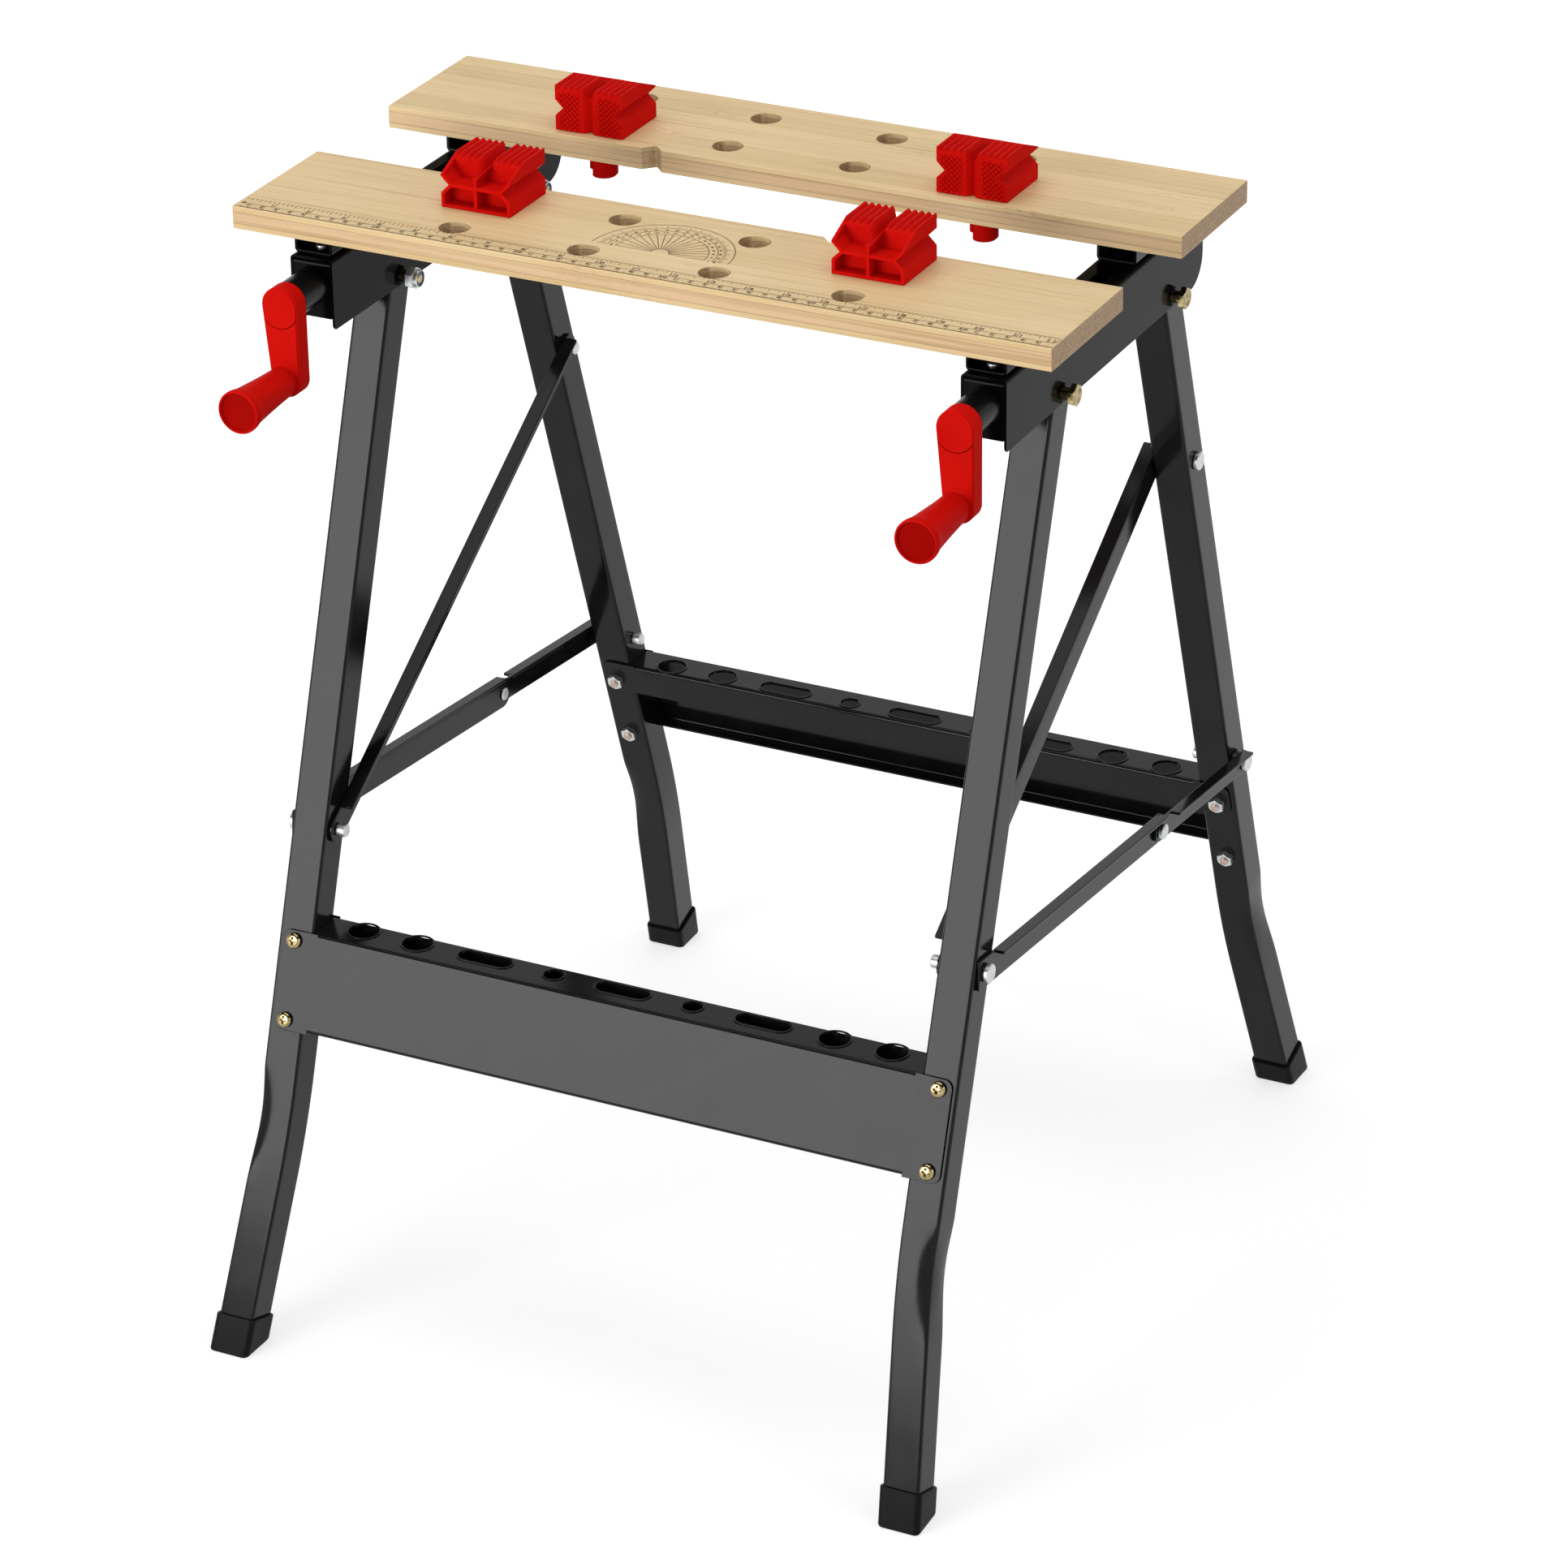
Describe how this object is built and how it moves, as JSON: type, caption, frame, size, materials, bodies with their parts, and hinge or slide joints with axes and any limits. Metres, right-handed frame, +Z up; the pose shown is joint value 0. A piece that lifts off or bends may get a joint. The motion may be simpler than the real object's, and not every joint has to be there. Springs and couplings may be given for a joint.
{
  "type": "folding workbench",
  "caption": "Folding workbench with bamboo clamping jaws moved by hand cranks, red bench dogs, black square-tube legs that fold on braces and stays, and tool trays.",
  "frame": {"origin": "on the floor, midway between the four feet", "axes": "+Z up, +X along the jaws to the user's right, -Y towards the user and the cranks"},
  "size_m": [0.56, 0.6602, 0.7833],
  "materials": {
    "bamboo": "sanded and clear-coated, satin",
    "black_steel": "black powder coat, semi-gloss",
    "spindle_steel": "blackened, oiled",
    "red_plastic": "moulded, semi-gloss",
    "black_rubber": "moulded, matt",
    "yellow_zinc": "yellow zinc plating",
    "rivet_zinc": "bright zinc plating"
  },
  "bodies": {
    "top_frame": {"front_jaw": "bamboo", "left_rail": "black_steel", "left_end_bracket": "black_steel", "left_jaw_seat": "black_steel", "right_rail": "black_steel", "right_end_bracket": "black_steel", "right_jaw_seat": "black_steel", "left_front_pivot_bolt": "yellow_zinc", "left_front_lock_nut": "rivet_zinc", "left_rear_pivot_bolt": "yellow_zinc", "left_rear_lock_nut": "rivet_zinc", "right_front_pivot_bolt": "yellow_zinc", "right_front_lock_nut": "rivet_zinc", "right_rear_pivot_bolt": "yellow_zinc", "right_rear_lock_nut": "rivet_zinc"},
    "rear_jaw_carriage": {"rear_jaw": "bamboo", "left_traveller": "black_steel", "right_traveller": "black_steel"},
    "front_leg_frame": {"front_tray": "black_steel", "left_front_leg": "black_steel", "left_front_foot_cap": "black_rubber", "left_front_tray_screw_upper": "yellow_zinc", "left_front_tray_screw_lower": "yellow_zinc", "right_front_leg": "black_steel", "right_front_foot_cap": "black_rubber", "right_front_tray_screw_upper": "yellow_zinc", "right_front_tray_screw_lower": "yellow_zinc", "left_brace_front_rivet": "rivet_zinc", "right_brace_front_rivet": "rivet_zinc"},
    "rear_leg_frame": {"rear_tray": "black_steel", "left_rear_leg": "black_steel", "left_rear_foot_cap": "black_rubber", "left_rear_tray_screw_upper": "yellow_zinc", "left_rear_tray_screw_lower": "yellow_zinc", "right_rear_leg": "black_steel", "right_rear_foot_cap": "black_rubber", "right_rear_tray_screw_upper": "yellow_zinc", "right_rear_tray_screw_lower": "yellow_zinc", "left_brace_rear_rivet": "rivet_zinc", "left_stay_rear_rivet": "rivet_zinc", "right_brace_rear_rivet": "rivet_zinc", "right_stay_rear_rivet": "rivet_zinc"},
    "braces": {"left_brace": "black_steel", "right_brace": "black_steel"},
    "stay_rear_links": {"left_stay_rear_link": "black_steel", "left_knee_rivet": "rivet_zinc", "right_stay_rear_link": "black_steel", "right_knee_rivet": "rivet_zinc"},
    "stay_front_links": {"left_stay_front_link": "black_steel", "right_stay_front_link": "black_steel"},
    "left_crank_shaft": {"left_spindle": "spindle_steel", "left_crank": "red_plastic"},
    "left_grip_sleeve": {"left_grip": "red_plastic"},
    "left_front_dog_swivel": {"left_front_dog": "red_plastic"},
    "left_rear_dog_swivel": {"left_rear_dog": "red_plastic"},
    "right_crank_shaft": {"right_spindle": "spindle_steel", "right_crank": "red_plastic"},
    "right_grip_sleeve": {"right_grip": "red_plastic"},
    "right_front_dog_swivel": {"right_front_dog": "red_plastic"},
    "right_rear_dog_swivel": {"right_rear_dog": "red_plastic"}
  },
  "joints": [
    {"name": "legs_fold", "type": "hinge", "parent": "top_frame", "child": "front_leg_frame", "pos_m": [0, -0.086, 0.68], "axis": [-1, 0, 0], "range_deg": [0, 47]},
    {"name": "rear_legs_fold", "type": "hinge", "parent": "top_frame", "child": "rear_leg_frame", "pos_m": [0, 0.086, 0.68], "axis": [-1, 0, 0], "range_deg": [0, 75.4]},
    {"name": "brace_fold", "type": "hinge", "parent": "front_leg_frame", "child": "braces", "pos_m": [0, -0.20166, 0.33634], "axis": [-1, 0, 0], "range_deg": [-25.2, 0]},
    {"name": "stay_rear_link_fold", "type": "hinge", "parent": "rear_leg_frame", "child": "stay_rear_links", "pos_m": [0, 0.21604, 0.29359], "axis": [-1, 0, 0], "range_deg": [0, 59]},
    {"name": "stay_front_link_fold", "type": "hinge", "parent": "stay_rear_links", "child": "stay_front_links", "pos_m": [0, 0.07092, 0.30845], "axis": [-1, 0, 0], "range_deg": [-144.3, 0]},
    {"name": "left_crank_turn", "type": "hinge", "parent": "top_frame", "child": "left_crank_shaft", "pos_m": [-0.231, -0.2, 0.704], "axis": [0, 1, 0], "range_deg": [-720, 6480]},
    {"name": "right_crank_turn", "type": "hinge", "parent": "top_frame", "child": "right_crank_shaft", "pos_m": [0.231, -0.2, 0.704], "axis": [0, 1, 0], "range_deg": [-720.5, 6480.5]},
    {"name": "jaw_slide", "type": "slide", "parent": "top_frame", "child": "rear_jaw_carriage", "axis": [0, -1, 0], "range_m": [-0.01001, 0.09001]},
    {"name": "left_grip_spin", "type": "hinge", "parent": "left_crank_shaft", "child": "left_grip_sleeve", "pos_m": [-0.231, -0.25, 0.654], "axis": [0, 1, 0], "continuous": true},
    {"name": "left_front_dog_turn", "type": "hinge", "parent": "top_frame", "child": "left_front_dog_swivel", "pos_m": [-0.135, -0.1054, 0.768], "axis": [0, 0, 1], "range_deg": [-90, 90]},
    {"name": "left_rear_dog_turn", "type": "hinge", "parent": "rear_jaw_carriage", "child": "left_rear_dog_swivel", "pos_m": [-0.135, 0.0364, 0.768], "axis": [0, 0, 1], "range_deg": [-90, 90]},
    {"name": "right_grip_spin", "type": "hinge", "parent": "right_crank_shaft", "child": "right_grip_sleeve", "pos_m": [0.231, -0.25, 0.654], "axis": [0, 1, 0], "continuous": true},
    {"name": "right_front_dog_turn", "type": "hinge", "parent": "top_frame", "child": "right_front_dog_swivel", "pos_m": [0.135, -0.1054, 0.768], "axis": [0, 0, 1], "range_deg": [-90, 90]},
    {"name": "right_rear_dog_turn", "type": "hinge", "parent": "rear_jaw_carriage", "child": "right_rear_dog_swivel", "pos_m": [0.135, 0.0364, 0.768], "axis": [0, 0, 1], "range_deg": [-90, 90]}
  ],
  "couplings": [
    {"joint": "rear_legs_fold", "follows": "legs_fold", "ratio": 1.6019},
    {"joint": "brace_fold", "follows": "legs_fold", "ratio": -0.53427},
    {"joint": "stay_rear_link_fold", "follows": "legs_fold", "ratio": 1.2532},
    {"joint": "stay_front_link_fold", "follows": "legs_fold", "ratio": -3.0667},
    {"joint": "right_crank_turn", "follows": "left_crank_turn", "ratio": 1},
    {"joint": "jaw_slide", "follows": "left_crank_turn", "m_per_rad": 0.00079577}
  ]
}
